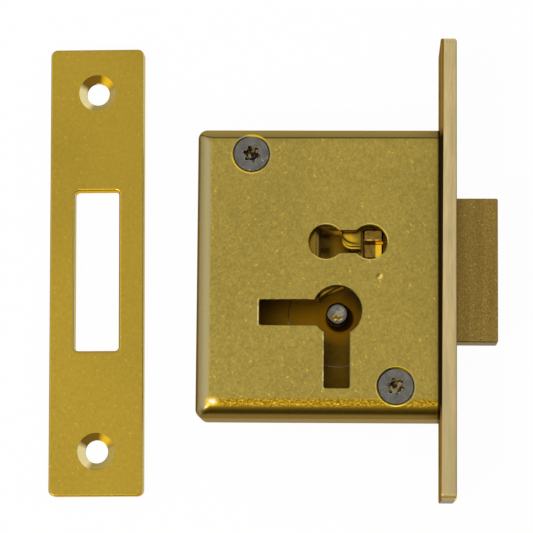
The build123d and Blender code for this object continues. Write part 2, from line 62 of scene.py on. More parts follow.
# Node helpers
class Nodes:
    """A material's node tree, with short calls to add and join nodes.

    A share is a socket that is one on some part of the surface and none on the rest. Its
    places are in millimetres from the frame's origin and its facings are cosines. It goes
    from none at start to one at stop, and either may be the larger.
    """

    def __init__(self, name):
        self.material = bpy.data.materials.new(name)
        self.material.use_nodes = True
        self.tree = self.material.node_tree
        self.tree.nodes.clear()
        self.output = self.add("ShaderNodeOutputMaterial")

    def add(self, kind, **settings):
        node = self.tree.nodes.new(kind)
        for key, value in settings.items():
            setattr(node, key, value)
        return node

    def join(self, source, target):
        self.tree.links.new(source, target)

    def place(self):
        return self.add("ShaderNodeTexCoord").outputs["Object"]

    def noise(self, stretch, detail, roughness=0.55):
        """Noise with its own scale per metre along each axis."""
        mapping = self.add("ShaderNodeMapping")
        mapping.inputs["Scale"].default_value = stretch
        self.join(self.place(), mapping.inputs["Vector"])
        node = self.add("ShaderNodeTexNoise")
        node.inputs["Scale"].default_value = 1.0
        node.inputs["Detail"].default_value = detail
        node.inputs["Roughness"].default_value = roughness
        self.join(mapping.outputs["Vector"], node.inputs["Vector"])
        return node.outputs["Fac"]

    def ramp(self, value, stops):
        node = self.add("ShaderNodeValToRGB")
        elements = node.color_ramp.elements
        while len(elements) < len(stops):
            elements.new(0.5)
        for element, (position, colour) in zip(elements, stops):
            element.position = position
            element.color = (*colour, 1.0)
        self.join(value, node.inputs["Fac"])
        return node.outputs["Color"]

    def mix(self, share, first, second, blend="MIX"):
        node = self.add("ShaderNodeMix", data_type="RGBA", blend_type=blend)
        if isinstance(share, float):
            node.inputs[0].default_value = share
        else:
            self.join(share, node.inputs[0])
        for socket, value in ((node.inputs[6], first), (node.inputs[7], second)):
            if isinstance(value, tuple):
                socket.default_value = (*value, 1.0)
            else:
                self.join(value, socket)
        return node.outputs[2]

    def bump(self, height, distance):
        node = self.add("ShaderNodeBump")
        node.inputs["Strength"].default_value = 1.0
        node.inputs["Distance"].default_value = distance
        self.join(height, node.inputs["Height"])
        return node.outputs["Normal"]

    def calculate(self, operation, first, second):
        node = self.add("ShaderNodeMath", operation=operation)
        self.join(first, node.inputs[0])
        if isinstance(second, float):
            node.inputs[1].default_value = second
        else:
            self.join(second, node.inputs[1])
        return node.outputs[0]

    def both(self, first, second):
        """The product of two shares. The second may be a plain number, for a weaker share."""
        return self.calculate("MULTIPLY", first, second)

    def either(self, shares):
        """The largest of some shares."""
        largest, *others = shares
        for share in others:
            largest = self.calculate("MAXIMUM", largest, share)
        return largest

    def span(self, value, start, stop):
        node = self.add("ShaderNodeMapRange")
        node.inputs["From Min"].default_value = start
        node.inputs["From Max"].default_value = stop
        self.join(value, node.inputs["Value"])
        return node.outputs["Result"]

    def along(self, vector, direction):
        """The vector's length along a direction, which is a tuple or an axis's letter."""
        node = self.add("ShaderNodeVectorMath", operation="DOT_PRODUCT")
        node.inputs[1].default_value = AXES.get(direction, direction)
        self.join(vector, node.inputs[0])
        return node.outputs["Value"]

    def facing(self, direction, start, stop):
        """A share by the cosine between the surface's normal and a direction."""
        normal = self.add("ShaderNodeNewGeometry").outputs["Normal"]
        return self.span(self.along(normal, direction), start, stop)

    def past(self, direction, start, stop):
        """A share by the place along a direction."""
        return self.span(self.along(self.place(), direction), start * MM, stop * MM)

    def beyond(self, point, direction, start, stop):
        """A share by the distance from a point along a level direction."""
        base = sum(place * share for place, share in zip(point, direction))
        return self.past((*direction, 0.0), base + start, base + stop)

    def band(self, axis, start, stop, soft):
        """One between two places along an axis, with soft sides."""
        return self.both(self.past(axis, start - soft, start), self.past(axis, stop + soft, stop))

    def patch(self, across, up):
        """One in a level rectangle, given as its bands along X and Y."""
        return self.both(self.band("X", *across), self.band("Y", *up))

    def ring(self, centre, inner, outer, soft, flatten=1.0):
        """One between two distances from an upright axis, with soft sides. Flattened, it is
        an ellipse that is so many times wider than high."""
        mapping = self.add("ShaderNodeMapping")
        middle = (-centre[0] * MM, -centre[1] * flatten * MM, 0.0)
        mapping.inputs["Location"].default_value = middle
        mapping.inputs["Scale"].default_value = (1.0, flatten, 0.0)
        self.join(self.place(), mapping.inputs["Vector"])
        node = self.add("ShaderNodeVectorMath", operation="LENGTH")
        self.join(mapping.outputs["Vector"], node.inputs[0])
        length = node.outputs["Value"]
        outside = self.span(length, (inner - soft) * MM, inner * MM)
        inside = self.span(length, (outer + soft) * MM, outer * MM)
        return self.both(outside, inside)

    def lay(self, tone, *layers):
        """Colours laid over the tone in turn, each where its share is."""
        for share, colour in layers:
            tone = self.mix(share, tone, colour)
        return tone

    def lay_turns(self, tone, turns):
        """Colours laid where the surface turns. Each turn has the direction, the cosines
        where its colour starts and is full, and the colour."""
        return self.lay(tone, *((self.facing(*turn), colour) for *turn, colour in turns))

    def lay_arcs(self, tone, centre, arcs):
        """Colours laid on parts of rings. Each arc has the ring's inner and outer radius and
        softness, the level direction that it lies toward with the distances where it starts
        and is full, and its colour."""
        for ring, toward, colour in arcs:
            share = self.both(self.ring(centre, *ring), self.beyond(centre, *toward))
            tone = self.mix(share, tone, colour)
        return tone

    def lay_patches(self, tone, speckle, patches):
        """Colours laid in speckled rectangles. Each patch has its bands along X and Y, as
        start, stop and softness, and its colour."""
        for across, up, colour in patches:
            tone = self.mix(self.both(self.patch(across, up), speckle), tone, colour)
        return tone


# Metal in general. A span is the part of the noise over which the colour or roughness goes
# from its low to its high value.
CLOUD_DETAIL = 4.0
CLOUD_SPAN = (0.3, 0.7)
GRAIN_DETAIL = 5.0
GRAIN_ROUGHNESS = 0.65
STREAK_SPAN = (0.3, 0.7)
ROUGH_SPAN = (0.25, 0.75)
ROUGH_SWING = 0.15
# Each run of painted glints: turn in degrees, stretch, and size against the finish's glint size
GLINT_RUNS = ((62.0, 3.4, 1.0), (50.0, 2.2, 0.62), (-38.0, 2.6, 1.3), (8.0, 1.3, 0.8))
# Share of a cell's width that a painted glint fills, with its soft side, and cells left plain
GLINT_SPOT = (0.02, 0.09)
GLINT_PLAIN = 0.50


def glints(make, size, turn, stretch):
    """Short painted glints, shaped like scratches: a few cells of a flat pattern, drawn out along
    one line.
    """
    turned = make.add("ShaderNodeMapping")
    turned.inputs["Rotation"].default_value = (0.0, 0.0, math.radians(turn))
    make.join(make.place(), turned.inputs["Vector"])
    drawn = make.add("ShaderNodeMapping")
    drawn.inputs["Scale"].default_value = (1.0, 1.0 / stretch, 1.0)
    make.join(turned.outputs["Vector"], drawn.inputs["Vector"])
    cells = make.add("ShaderNodeTexVoronoi", voronoi_dimensions="2D")
    cells.inputs["Scale"].default_value = 1.0 / size
    make.join(drawn.outputs["Vector"], cells.inputs["Vector"])
    full, edge = GLINT_SPOT
    spot = make.ramp(cells.outputs["Distance"], [(full, WHITE), (edge, BLACK)])
    pick = make.ramp(cells.outputs["Color"], [(GLINT_PLAIN, BLACK), (1.0, WHITE)])
    return make.both(spot, pick)


def metal(
    name,
    colour,
    roughness,
    grain=(900.0, 900.0, 900.0),
    grain_depth=0.6e-6,
    grain_change=0.10,
    cloud=(60.0, 60.0, 60.0),
    cloud_change=0.10,
    glint_size=None,
    glint_colour=(1.0, 0.66, 0.06),
    edge_tint=(0.75, 0.62, 0.34),
    details=None,
    matt=None,
):
    """Worked metal: slow colour change, fine grain and short painted glints. The details
    function lays more over the colour, and the matt one gives the share that is unpolished."""
    make = Nodes(name)
    shader = make.add("ShaderNodeBsdfPrincipled")
    shader.inputs["Metallic"].default_value = 1.0
    shader.inputs["Specular Tint"].default_value = (*edge_tint, 1.0)
    clouds = make.noise(cloud, CLOUD_DETAIL)
    tones = (scaled(colour, 1.0 - cloud_change), scaled(colour, 1.0 + cloud_change))
    tone = make.ramp(clouds, list(zip(CLOUD_SPAN, tones)))
    lines = make.noise(grain, GRAIN_DETAIL, GRAIN_ROUGHNESS)
    streaks = make.ramp(lines, list(zip(STREAK_SPAN, (grey(1.0 - grain_change), WHITE))))
    tone = make.mix(1.0, tone, streaks, blend="MULTIPLY")
    if glint_size is not None:
        for turn, stretch, size in GLINT_RUNS:
            tone = make.lay(tone, (glints(make, glint_size * size, turn, stretch), glint_colour))
    if details is not None:
        tone = details(make, tone)
    make.join(tone, shader.inputs["Base Color"])
    levels = (grey(roughness * (1.0 - ROUGH_SWING)), grey(roughness * (1.0 + ROUGH_SWING)))
    make.join(make.ramp(lines, list(zip(ROUGH_SPAN, levels))), shader.inputs["Roughness"])
    make.join(make.bump(lines, grain_depth), shader.inputs["Normal"])
    surface = shader.outputs[0]
    if matt is not None:
        dull = make.add("ShaderNodeBsdfDiffuse")
        make.join(tone, dull.inputs["Color"])
        blend = make.add("ShaderNodeMixShader")
        make.join(matt(make), blend.inputs[0])
        make.join(surface, blend.inputs[1])
        make.join(dull.outputs[0], blend.inputs[2])
        surface = blend.outputs[0]
    make.join(surface, make.output.inputs["Surface"])
    return make.material


def middle_mm(name):
    """The level middle of a node's box."""
    return tuple((low + high) / 2 / MM for low, high in zip(*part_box(name)))[:2]


# Places that the details keep to
KEY_AXIS_MM = (0.0, 0.0)
CAP_LOW_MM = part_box("cap")[0][1] / MM
CAP_HIGH_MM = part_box("cap")[1][1] / MM
FOREND_BACK_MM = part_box("forend")[0][0] / MM
SCREW_TOP_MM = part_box("cap_screw_rear")[1][2] / MM
SCREW_PLACES_MM = [middle_mm(name) for name in ("cap_screw_rear", "cap_screw_front")]
STRIKER_HOLES_MM = ((-54.77, 50.80), (-53.83, -30.40))
WINDOW_LOBES_MM = ((-2.5, 15.15), (7.15, 15.15))

# Fine speckle, which breaks up the painted highlights on bright edges
SPECKLE_GRAIN = (900.0, 900.0, 900.0)
SPECKLE_DETAIL = 1.0

# Cap: painted light and shade where its rolled edges and walls turn
CAP_LEFT_SHADING_TURNS = (
    ("X", -0.10, -0.18, (0.35, 0.285, 0.13)),
    ("X", -0.80, -0.93, (0.12, 0.07, 0.015)),
)
CAP_OTHER_SHADING_TURNS = (
    ((0.71, -0.71, 0.0), 0.10, 0.26, (0.165, 0.10, 0.010)),
    ("Y", -0.72, -0.78, (0.24, 0.152, 0.045)),
    ("Y", 0.33, 0.37, (0.13, 0.08, 0.02)),
    ("Y", 0.42, 0.48, (0.31, 0.23, 0.07)),
)
# The painted speckled highlight above the near roll: heights over the cap's low edge and places
# along X where it starts and is full
STRIP_HEIGHTS_MM = (4.7, 3.9)
STRIP_STARTS_MM = (-28.8, -27.8)
STRIP_GRAIN = (1500.0, 2300.0, 1500.0)
STRIP_DETAIL = 4.0
STRIP_ROUGHNESS = 0.8
STRIP_HIGHLIGHT_TONES = [
    (0.40, (0.22, 0.12, 0.004)), (0.52, (0.46, 0.265, 0.010)), (0.69, (1.0, 0.68, 0.08))
]
# Painted shade in the gap round each screw head, and a painted highlight on its seat with brighter
# arcs
SCREW_GAP_MM = (3.8, 4.02, 0.10)
SCREW_GAP_SHADE_TONE = (0.14, 0.08, 0.008)
SCREW_SEAT_MM = (4.12, 4.34, 0.12)
SCREW_SEAT_STRENGTH = 0.35
SCREW_SEAT_HIGHLIGHT_TONE = (0.8, 0.7, 0.3)
SCREW_HIGHLIGHT_ARCS = (
    (SCREW_SEAT_MM, ((-0.50, -0.87), 1.2, 3.2), (1.0, 0.72, 0.08)),
    ((3.9, 4.35, 0.12), ((0.26, 0.97), 3.4, 3.9), (0.85, 0.58, 0.03)),
)
# Painted highlights on the lips of the window's lobes
WINDOW_LIP_MM = (3.80, 3.98, 0.12)
WINDOW_HIGHLIGHT_ARCS = (
    (WINDOW_LIP_MM, ((0.6, 0.8), 1.5, 3.2), (1.0, 0.76, 0.14)),
    (WINDOW_LIP_MM, ((0.0, -1.0), 2.4, 3.4), (0.80, 0.60, 0.16)),
)
# Speckled painted highlights along the keyhole's slot edges
SLOT_SPECKLE_STOPS = [(0.40, grey(0.25)), (0.60, WHITE)]
SLOT_EDGE_HIGHLIGHTS = (
    ((-17.2, -4.9, 0.2), (2.38, 2.50, 0.10), (0.95, 0.68, 0.12)),
    ((-17.4, -17.25, 0.10), (-3.4, 2.4, 0.2), (0.80, 0.68, 0.30)),
    ((-3.05, -2.90, 0.10), (-17.1, -4.9, 0.3), (0.85, 0.76, 0.42)),
)
DENT_MM = (9.2, 7.55)
DENT_SIZE_MM = (0.0, 0.55, 0.25)
# A painted highlight and painted shade on opposite sides of the dent
DENT_SHADING_ARCS = (
    (DENT_SIZE_MM, ((0.7, -0.7), -0.1, 0.2), (0.85, 0.62, 0.14)),
    (DENT_SIZE_MM, ((-0.7, 0.7), 0.0, 0.3), (0.24, 0.15, 0.02)),
)
# A painted highlight at a corner of the cap: a golden halo and a pale core
CORNER_HIGHLIGHT_MM = (-27.1, -20.0)
CORNER_HIGHLIGHT_FLATTEN = 1.5
HIGHLIGHT_HALO_MM = (0.0, 0.35, 1.5)
HIGHLIGHT_HALO_TONE = (1.0, 0.66, 0.06)
HIGHLIGHT_CORE_MM = (0.0, 0.25, 0.75)
HIGHLIGHT_CORE_TONE = (1.0, 0.97, 0.85)
# Distances from the forend where the painted shade along it starts and is full
CAP_FOREND_SHADE_MM = (0.68, 0.36)
CAP_FOREND_SHADE_TONE = (0.028, 0.014, 0.003)


def cap_details(make, tone):
    """The pressed cap, with painted light and shade: rolled edges painted by their facing, a
    speckled highlight above the dark near roll, shaded screw gaps, highlights on seats, lips and
    slot edges, a small dent with a highlight and a shaded side, a highlight at a corner, and shade
    along the forend."""
    tone = make.lay_turns(tone, CAP_LEFT_SHADING_TURNS)
    strip_speckle = make.noise(STRIP_GRAIN, STRIP_DETAIL, STRIP_ROUGHNESS)
    heights = [CAP_LOW_MM + height for height in STRIP_HEIGHTS_MM]
    strip = make.both(make.past("Y", *heights), make.past("X", *STRIP_STARTS_MM))
    tone = make.lay(tone, (strip, make.ramp(strip_speckle, STRIP_HIGHLIGHT_TONES)))
    tone = make.lay_turns(tone, CAP_OTHER_SHADING_TURNS)
    for centre in SCREW_PLACES_MM:
        seat = make.both(make.ring(centre, *SCREW_SEAT_MM), SCREW_SEAT_STRENGTH)
        gap = make.ring(centre, *SCREW_GAP_MM)
        tone = make.lay(tone, (gap, SCREW_GAP_SHADE_TONE), (seat, SCREW_SEAT_HIGHLIGHT_TONE))
        tone = make.lay_arcs(tone, centre, SCREW_HIGHLIGHT_ARCS)
    for centre in WINDOW_LOBES_MM:
        tone = make.lay_arcs(tone, centre, WINDOW_HIGHLIGHT_ARCS)
    edge_speckle = make.ramp(make.noise(SPECKLE_GRAIN, SPECKLE_DETAIL), SLOT_SPECKLE_STOPS)
    tone = make.lay_patches(tone, edge_speckle, SLOT_EDGE_HIGHLIGHTS)
    tone = make.lay_arcs(tone, DENT_MM, DENT_SHADING_ARCS)
    return make.lay(
        tone,
        (make.ring(CORNER_HIGHLIGHT_MM, *HIGHLIGHT_HALO_MM, flatten=CORNER_HIGHLIGHT_FLATTEN), HIGHLIGHT_HALO_TONE),
        (make.ring(CORNER_HIGHLIGHT_MM, *HIGHLIGHT_CORE_MM, flatten=CORNER_HIGHLIGHT_FLATTEN), HIGHLIGHT_CORE_TONE),
        (make.past("X", *(FOREND_BACK_MM - gap for gap in CAP_FOREND_SHADE_MM)), CAP_FOREND_SHADE_TONE),
    )


# Cap screws
# Painted light and shade in each screw's recess: a bluish reflection on its lip, shade with glints
# deep down, and a highlight on the far wall
RECESS_MM = (0.0, 2.5, 0.1)
RECESS_LEFT = ((-0.7, -0.7), -0.6, 0.4)
RECESS_LIP_FACING = ("Z", 0.97, 0.88)
RECESS_LIP_REFLECTION_TONE = (0.62, 0.68, 0.80)
RECESS_GLINT_GRAIN = (1500.0, 1500.0, 1500.0)
RECESS_GLINT_DETAIL = 2.0
RECESS_SHADE_AND_GLINTS = [(0.48, (0.02, 0.016, 0.012)), (0.60, (0.40, 0.30, 0.12))]
# Depths below the head where the painted shade and glints start and are full, and the same for the
# painted highlight on the far wall
RECESS_SHADE_AND_GLINTS_DEPTHS_MM = (0.25, 0.5)
RECESS_WALL_DEPTHS_MM = (1.1, 0.7)
RECESS_WALL_FACING = ("Y", -0.4, -0.7)
RECESS_WALL_HIGHLIGHT_TONE = (1.0, 0.80, 0.42)


def screw_details(make, tone):
    """The recess in each screw head has painted shade with painted glints, a painted highlight on
    its far wall and a bluish painted reflection on its lip."""
    lefts = [
        make.both(make.ring(centre, *RECESS_MM), make.beyond(centre, *RECESS_LEFT))
        for centre in SCREW_PLACES_MM
    ]
    lip = make.both(make.facing(*RECESS_LIP_FACING), make.either(lefts))
    recess_shade = make.ramp(make.noise(RECESS_GLINT_GRAIN, RECESS_GLINT_DETAIL), RECESS_SHADE_AND_GLINTS)
    deep = make.past("Z", *(SCREW_TOP_MM - depth for depth in RECESS_SHADE_AND_GLINTS_DEPTHS_MM))
    high = make.past("Z", *(SCREW_TOP_MM - depth for depth in RECESS_WALL_DEPTHS_MM))
    wall = make.both(make.facing(*RECESS_WALL_FACING), high)
    return make.lay(tone, (lip, RECESS_LIP_REFLECTION_TONE), (deep, recess_shade), (wall, RECESS_WALL_HIGHLIGHT_TONE))


# Striking plate: painted light and shade on its edges and countersinks
STRIKER_SHADING_TURNS = (
    ("Z", 0.92, 0.80, (0.40, 0.28, 0.08)),
    ("X", 0.35, 0.6, (0.72, 0.62, 0.34)),
    ("X", -0.5, -0.8, (0.26, 0.17, 0.06)),
    ("Y", -0.3, -0.6, (0.80, 0.48, 0.03)),
)
CONE_MM = (0.0, 4.3, 0.05)
CONE_FACING = ("Z", 0.95, 0.85)
CONE_GRAIN = (40.0, 40.0, 9000.0)
CONE_DETAIL = 2.0
CONE_TONES = [(0.42, (0.27, 0.19, 0.045)), (0.58, (0.52, 0.41, 0.13))]
# Painted light and shade on the countersinks, laid over their turned rings
CONE_SHADING_TURNS = (
    ("X", 0.20, 0.42, (1.0, 0.88, 0.44)),
    ("Y", -0.16, -0.40, (0.21, 0.115, 0.012)),
    ((-0.62, -0.78, 0.0), 0.61, 0.70, (0.88, 0.53, 0.025)),
)


def striker_cones(make):
    """The countersinks of the striking plate's holes."""
    holes = make.either([make.ring(centre, *CONE_MM) for centre in STRIKER_HOLES_MM])
    return make.both(holes, make.facing(*CONE_FACING))


def striker_details(make, tone):
    """Painted light and shade on the striking plate's edges: bright on the near side, pale on the
    right; the screw holes' cones are dark above, golden at the upper right and pale on the left."""
    rings = make.noise(CONE_GRAIN, CONE_DETAIL)
    cone = make.lay_turns(make.ramp(rings, CONE_TONES), CONE_SHADING_TURNS)
    return make.lay(make.lay_turns(tone, STRIKER_SHADING_TURNS), (striker_cones(make), cone))


# Back plate: painted light and shade at places on its upper face, seen through the keyhole
BACK_UPPER_FACING = ("Z", 0.3, 0.6)
PIN_GLOW_MM = (0.0, 3.5, 3.0)
PIN_GLOW_TONE = (0.31, 0.145, 0.004)
SLOT_GLOW_MM = (-3.2, -5.0)
SLOT_GLOW_TONE = (0.29, 0.138, 0.004)
SLOT_END_MM = (-8.5, -15.5)
SLOT_END_SHADOW_TONE = (0.12, 0.062, 0.004)
PIN_SHADE_PLACE_MM = (0.36, -0.21)
PIN_SHADE_MM = (0.0, 2.9, 0.5)
PIN_SHADE_TONE = (0.03, 0.014, 0.002)
SWEEP_RIM_MM = (11.08, 11.20, 0.06)
SWEEP_RIM_HEIGHTS_MM = (0.2, -1.0)
SWEEP_RIM_STRENGTH = 0.85
SWEEP_RIM_HIGHLIGHT_TONE = (0.85, 0.76, 0.52)


def back_details(make, tone):
    """Painted light and shade on the back plate: lighter and warmer around the pin and in the side
    slot, shadows beside the pin and at the slot's end, and a highlight on the rim of the ring swept
    by the key's bit."""
    rim = make.both(make.ring(KEY_AXIS_MM, *SWEEP_RIM_MM), make.past("Y", *SWEEP_RIM_HEIGHTS_MM))
    upper = make.lay(
        tone,
        (make.ring(KEY_AXIS_MM, *PIN_GLOW_MM), PIN_GLOW_TONE),
        (make.past("X", *SLOT_GLOW_MM), SLOT_GLOW_TONE),
        (make.past("X", *SLOT_END_MM), SLOT_END_SHADOW_TONE),
        (make.ring(PIN_SHADE_PLACE_MM, *PIN_SHADE_MM), PIN_SHADE_TONE),
        (make.both(rim, SWEEP_RIM_STRENGTH), SWEEP_RIM_HIGHLIGHT_TONE),
    )
    return make.lay(tone, (make.facing(*BACK_UPPER_FACING), upper))


# Drill pin: scratches, a painted golden reflection and painted shade on its rounded rim
PIN_SCUFF_SHARE = 0.6
PIN_SCUFFS = [(0.42, grey(0.14)), (0.58, (0.46, 0.39, 0.26))]
PIN_GOLD_REFLECTION = [(0.46, (0.20, 0.12, 0.02)), (0.56, (1.0, 0.66, 0.20))]
PIN_GOLD_ARC = ((0.0, 1.55, 0.15), ((-0.35, -0.94), 0.3, 0.6))
PIN_RIM_MM = (1.75, 3.0, 0.15)
PIN_RIM_SHADE_TONE = (0.15, 0.135, 0.10)


def pin_details(make, tone):
    """The pin's tip is scratched bright inside a rounded rim with painted shade, and has a painted
    golden reflection.
    """
    scuffs = make.noise(SPECKLE_GRAIN, SPECKLE_DETAIL)
    tone = make.mix(PIN_SCUFF_SHARE, tone, make.ramp(scuffs, PIN_SCUFFS))
    tone = make.lay_arcs(tone, KEY_AXIS_MM, [(*PIN_GOLD_ARC, make.ramp(scuffs, PIN_GOLD_REFLECTION))])
    return make.lay(tone, (make.ring(KEY_AXIS_MM, *PIN_RIM_MM), PIN_RIM_SHADE_TONE))


# Forend: a dull strip lies beside its inner face, very slightly aslant, and painted shade darkens it
# most between two places that are measured from the cap's low and high edges
DULL_ASLANT = (1.0, -0.0045, 0.0)
DULL_STRIP_MM = (0.46, 0.36)
DULL_FACING = ("X", -0.4, -0.75)
DULL_TONE = (0.25, 0.14, 0.026)
CASE_SHADE_TONE = (0.018, 0.010, 0.003)
DARK_OVER_LOW_MM = (-1.0, 3.0)
DARK_UNDER_HIGH_MM = (-0.3, -2.5)
# Painted shade: the forend darkens towards its lower end
FOREND_LOW_MM = (10.0, -60.0)
FOREND_LOW_SHADE_TONE = (0.5184, 0.4032, 0.1908)
# Painted shade where the face turns towards its outer edge
FOREND_EDGE_SHADE_TURNS = (("X", 0.55, 0.85, (0.24, 0.18, 0.08)),)
# A speckled painted highlight on the rounded edges turned towards the lower end
FOREND_SPECKLE_GRAIN = (700.0, 200.0, 700.0)
FOREND_EDGE_HIGHLIGHTS = [(0.44, (0.55, 0.40, 0.12)), (0.56, (1.0, 0.74, 0.14))]
FOREND_HIGHLIGHT_FACING = ("Y", -0.12, -0.30)
FOREND_END_TURNS = (("Y", -0.80, -0.92, (0.50, 0.40, 0.30)),)
FOREND_MATT_FACING = ((0.707, 0.707, 0.0), -0.22, -0.55)


def forend_details(make, tone):
    """The forend's edge has a dull strip beside its inner face, with painted shade darkest along the
    case;
    painted shade also darkens its lower part and outer edge, and its lower end has a speckled
    painted highlight."""
    strip = make.past(DULL_ASLANT, *(FOREND_BACK_MM + gap for gap in DULL_STRIP_MM))
    over_low = make.past("Y", *(CAP_LOW_MM + gap for gap in DARK_OVER_LOW_MM))
    under_high = make.past("Y", *(CAP_HIGH_MM + gap for gap in DARK_UNDER_HIGH_MM))
    dull = make.mix(make.both(over_low, under_high), DULL_TONE, CASE_SHADE_TONE)
    tone = make.lay(tone, (make.past("Y", *FOREND_LOW_MM), FOREND_LOW_SHADE_TONE))
    tone = make.lay_turns(tone, FOREND_EDGE_SHADE_TURNS)
    edge = make.ramp(make.noise(FOREND_SPECKLE_GRAIN, SPECKLE_DETAIL), FOREND_EDGE_HIGHLIGHTS)
    tone = make.lay(tone, (make.facing(*FOREND_HIGHLIGHT_FACING), edge))
    tone = make.lay_turns(tone, FOREND_END_TURNS)
    return make.lay(tone, (strip, dull), (make.facing(*DULL_FACING), dull))


def forend_matt(make):
    """The forend is unpolished on its inner face and its lower end."""
    return make.facing(*FOREND_MATT_FACING)


# Levers: painted light and shade under the window and on their cut sides
# Painted shade on the levers' left part under the window
LEVER_LEFT_MM = (-3.0, -4.0)
LEVER_LEFT_SHADE_TONE = (0.27, 0.165, 0.018)
LEVER_ARC_PLACE_MM = (4.2, 17.4)
LEVER_ARC_FLATTEN = 1.5
# Painted light and shade: the shoulder's lit stretch, the crescent, its lit core and the dark line
# between: inner and outer radius and softness in millimetres, and colour
LEVER_SHADING_ARC_RUNS = (
    (1.9, 2.4, 0.6, (0.74, 0.45, 0.02)),
    (3.4, 6.6, 0.15, (0.42, 0.25, 0.015)),
    (4.2, 4.8, 0.5, (0.95, 0.60, 0.04)),
    (3.15, 3.4, 0.25, (0.07, 0.035, 0.002)),
)
# Painted shade to the right and high up
LEVER_RIGHT_MM = (3.0, 5.0)
LEVER_RIGHT_HEIGHTS_MM = (13.5, 14.5)
LEVER_RIGHT_SHADE_TONE = (0.24, 0.155, 0.018)
# The pocket's left edge, a pale painted highlight and then painted shade: start, stop and softness
# along X, and colour
LEVER_EDGE_SHADING_LINES = (
    (-4.50, -4.42, 0.08, (0.42, 0.31, 0.14)),
    (-4.25, -3.75, 0.10, (0.09, 0.045, 0.003)),
)
# Painted shade on the levers' cut sides, with a painted highlight low in the pocket, a paler line
# near the top of its walls, and painted highlights beside the stump
CUT_FACING = ("Z", 0.5, 0.3)
CUT_SHADE_TONE = (0.20, 0.10, 0.006)
POCKET_MM = (-3.7, 1.2, 0.1)
POCKET_SHADE_TONE = (0.16, 0.075, 0.004)
POCKET_LIT_DEPTHS_MM = (5.0, 9.0, 0.8)
POCKET_LIT_MM = (-2.4, -0.6)
POCKET_LIT_TONE = (1.0, 0.62, 0.04)
POCKET_RIM_MM = (12.6, 12.9, 0.1)
POCKET_RIM_TONE = (0.55, 0.36, 0.05)
CUT_RIGHT_MM = (3.6, 4.6)
CUT_RIGHT_HIGHLIGHT_TONE = (1.0, 0.62, 0.06)


def lever_sides(make):
    """The levers' cut sides, which are unpolished."""
    return make.facing(*CUT_FACING)


def lever_details(make, tone):
    """Under the window the levers are rolled, with painted light and shade: darker on the left, then
    a lit crescent and a lit shoulder on either side of a dark arc, and browner to the right. Their
    cut sides have painted shade, but for a painted highlight in the pocket and painted highlights
    beside the stump."""
    tone = make.lay(tone, (make.past("X", *LEVER_LEFT_MM), LEVER_LEFT_SHADE_TONE))
    for *run, colour in LEVER_SHADING_ARC_RUNS:
        share = make.ring(LEVER_ARC_PLACE_MM, *run, flatten=LEVER_ARC_FLATTEN)
        tone = make.lay(tone, (share, colour))
    right = make.both(make.past("X", *LEVER_RIGHT_MM), make.past("Y", *LEVER_RIGHT_HEIGHTS_MM))
    tone = make.lay(tone, (right, LEVER_RIGHT_SHADE_TONE))
    tone = make.lay(tone, *((make.band("X", *line), colour) for *line, colour in LEVER_EDGE_SHADING_LINES))
    lit = make.both(make.band("Z", *POCKET_LIT_DEPTHS_MM), make.past("X", *POCKET_LIT_MM))
    rim = make.band("Z", *POCKET_RIM_MM)
    pocket = make.lay(make.mix(lit, POCKET_SHADE_TONE, POCKET_LIT_TONE), (rim, POCKET_RIM_TONE))
    cut = make.mix(make.band("X", *POCKET_MM), CUT_SHADE_TONE, pocket)
    cut = make.lay(cut, (make.past("X", *CUT_RIGHT_MM), CUT_RIGHT_HIGHLIGHT_TONE))
    return make.lay(tone, (lever_sides(make), cut))


# Bolt stump: painted highlights, placed by distances from its right end and heights over its
# groove's middle
STUMP_RIGHT_MM = (1.8, 1.5)
STUMP_RIGHT_HEIGHTS_MM = (0.6, 0.4)
STUMP_RIGHT_HIGHLIGHT_TONE = (1.0, 0.60, 0.03)
STUMP_LINE_FOOT_MM = (0.70, 0.78)
STUMP_LINE_HEAD_MM = (1.02, 0.94)
STUMP_LINE_HIGHLIGHT_TONE = (1.0, 0.70, 0.14)
STUMP_LINE_SPECKLE = [(0.42, grey(0.2)), (0.55, WHITE)]


def stump_details(make, tone):
    """The stump's head is brown, with a painted highlight on its right end and a speckled painted
    highlight over its groove.
    """
    groove = middle_mm("bolt_stump")[1]
    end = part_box("bolt_stump")[1][0] / MM
    right = make.past("X", *(end - gap for gap in STUMP_RIGHT_MM))
    below = make.past("Y", *(groove + height for height in STUMP_RIGHT_HEIGHTS_MM))
    over = make.past("Y", *(groove + height for height in STUMP_LINE_FOOT_MM))
    under = make.past("Y", *(groove + height for height in STUMP_LINE_HEAD_MM))
    edge_speckle = make.ramp(make.noise(SPECKLE_GRAIN, SPECKLE_DETAIL), STUMP_LINE_SPECKLE)
    line = make.both(make.both(over, under), edge_speckle)
    return make.lay(tone, (make.both(right, below), STUMP_RIGHT_HIGHLIGHT_TONE), (line, STUMP_LINE_HIGHLIGHT_TONE))


# Bolt: painted shade inside the case, painted light round the stump, and painted light and shade on
# its sides
BOLT_OUTSIDE_MM = (20.0, 21.5)
BOLT_MOTTLE_GRAIN = (160.0, 500.0, 160.0)
BOLT_MOTTLE_DETAIL = 2.0
BOLT_INNER_SHADE_TONES = [(0.40, (0.045, 0.023, 0.003)), (0.62, (0.17, 0.10, 0.012))]
ROUND_STUMP_MM = ((3.5, 12.0, 0.5), (10.5, 20.0, 0.5))
ROUND_STUMP_LIGHT_TONE = (0.85, 0.50, 0.05)
LEFT_OF_STUMP_MM = ((-0.6, 3.0, 1.6), (13.2, 18.0, 0.8))
LEFT_OF_STUMP_LIGHT_TONE = (0.26, 0.145, 0.010)
BOLT_SIDE_SHADING_TURNS = (
    ("Z", 0.6, 0.15, (0.27, 0.22, 0.15)),
    ("Y", -0.6, -0.9, (0.10, 0.095, 0.08)),
)


